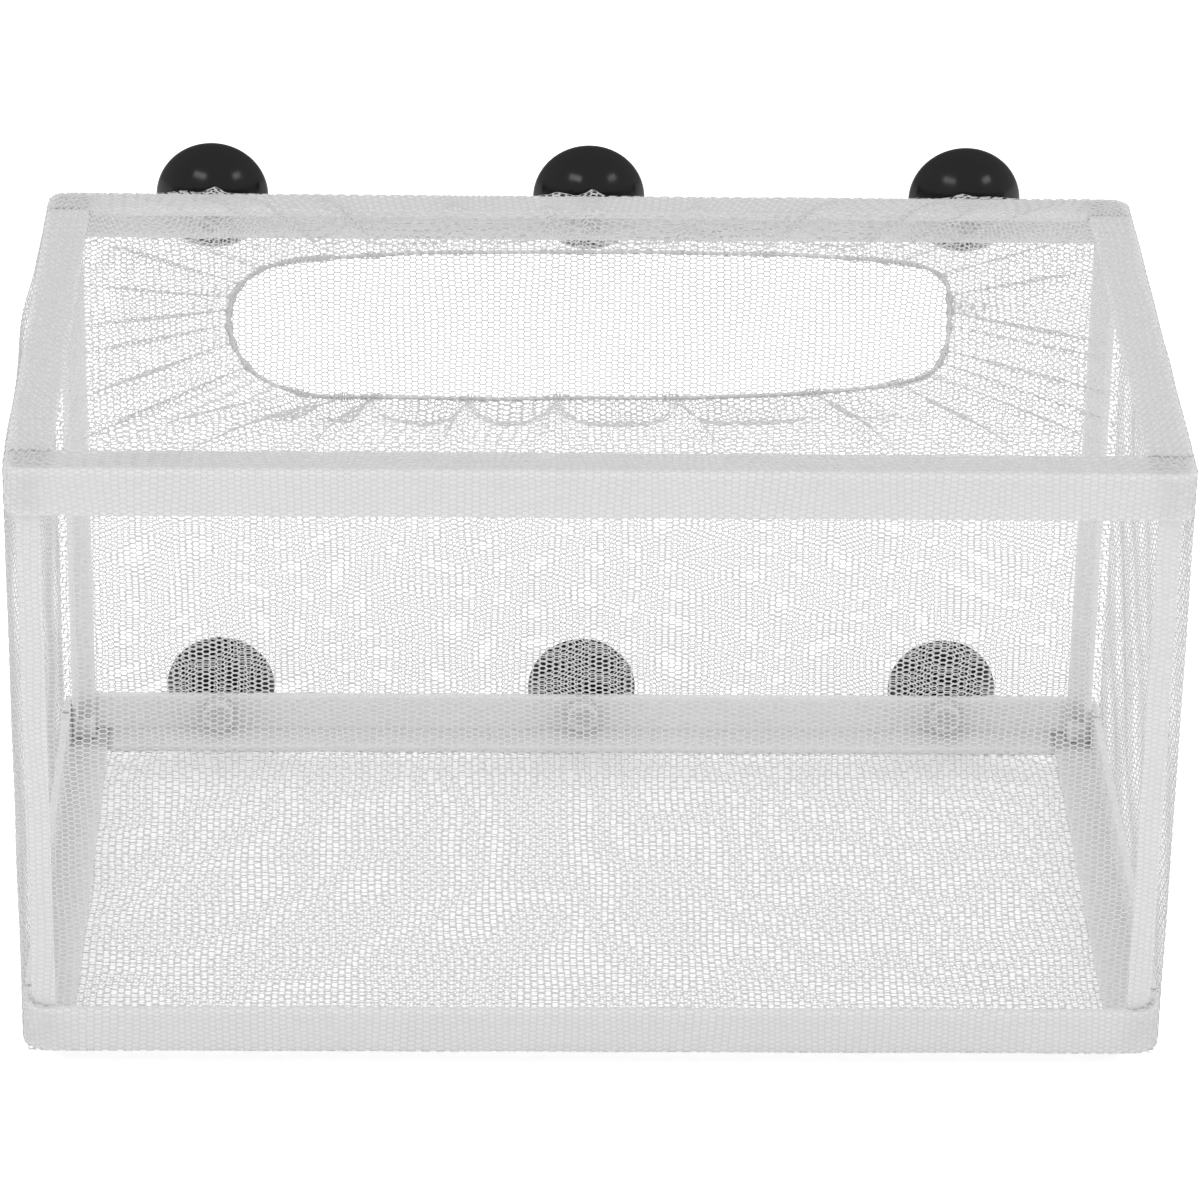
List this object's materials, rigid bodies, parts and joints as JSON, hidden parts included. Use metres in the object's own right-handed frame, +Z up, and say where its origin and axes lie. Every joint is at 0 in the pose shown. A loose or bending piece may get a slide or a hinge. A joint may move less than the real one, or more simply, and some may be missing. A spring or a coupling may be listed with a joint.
{
  "type": "fish breeding box",
  "caption": "Aquarium net breeding box: a knock-down frame of plastic angle strips, a net bag with an elastic mouth, and suction cups that hold it to the glass.",
  "frame": {"origin": "middle of the top middle cup's lip, on the glass that the cups hold", "axes": "+X along the box to the right, +Y into the glass, +Z up"},
  "size_m": [0.2608, 0.1669, 0.1618],
  "materials": {
    "frame_plastic": "white moulded polypropylene, satin",
    "net": "white knitted polyester net with hexagonal cells",
    "elastic": "pale grey covered elastic",
    "cup_rubber": "black moulded rubber, glossy"
  },
  "bodies": {
    "box": {"top_front_rail": "frame_plastic", "top_back_rail": "frame_plastic", "top_left_rail": "frame_plastic", "top_right_rail": "frame_plastic", "base_front_rail": "frame_plastic", "base_back_rail": "frame_plastic", "base_left_rail": "frame_plastic", "base_right_rail": "frame_plastic", "front_left_post": "frame_plastic", "front_right_post": "frame_plastic", "back_left_post": "frame_plastic", "back_right_post": "frame_plastic", "net_front": "net", "net_back": "net", "net_left": "net", "net_right": "net", "net_floor": "net", "net_collar": "net", "collar_hem": "net", "elastic_cord": "elastic"},
    "cup_top_left": {"top_left_cup": "cup_rubber"},
    "cup_top_middle": {"top_middle_cup": "cup_rubber"},
    "cup_top_right": {"top_right_cup": "cup_rubber"},
    "cup_base_left": {"base_left_cup": "cup_rubber"},
    "cup_base_middle": {"base_middle_cup": "cup_rubber"},
    "cup_base_right": {"base_right_cup": "cup_rubber"}
  },
  "joints": [
    {"name": "top_left_swivel", "type": "hinge", "parent": "box", "child": "cup_top_left", "pos_m": [-0.0915, 0, 0], "axis": [0, 1, 0], "continuous": true},
    {"name": "top_middle_swivel", "type": "hinge", "parent": "box", "child": "cup_top_middle", "pos_m": [0, 0, 0], "axis": [0, 1, 0], "continuous": true},
    {"name": "top_right_swivel", "type": "hinge", "parent": "box", "child": "cup_top_right", "pos_m": [0.0915, 0, 0], "axis": [0, 1, 0], "continuous": true},
    {"name": "base_left_swivel", "type": "hinge", "parent": "box", "child": "cup_base_left", "pos_m": [-0.0915, 0, -0.1346], "axis": [0, 1, 0], "continuous": true},
    {"name": "base_middle_swivel", "type": "hinge", "parent": "box", "child": "cup_base_middle", "pos_m": [0, 0, -0.1346], "axis": [0, 1, 0], "continuous": true},
    {"name": "base_right_swivel", "type": "hinge", "parent": "box", "child": "cup_base_right", "pos_m": [0.0915, 0, -0.1346], "axis": [0, 1, 0], "continuous": true}
  ]
}
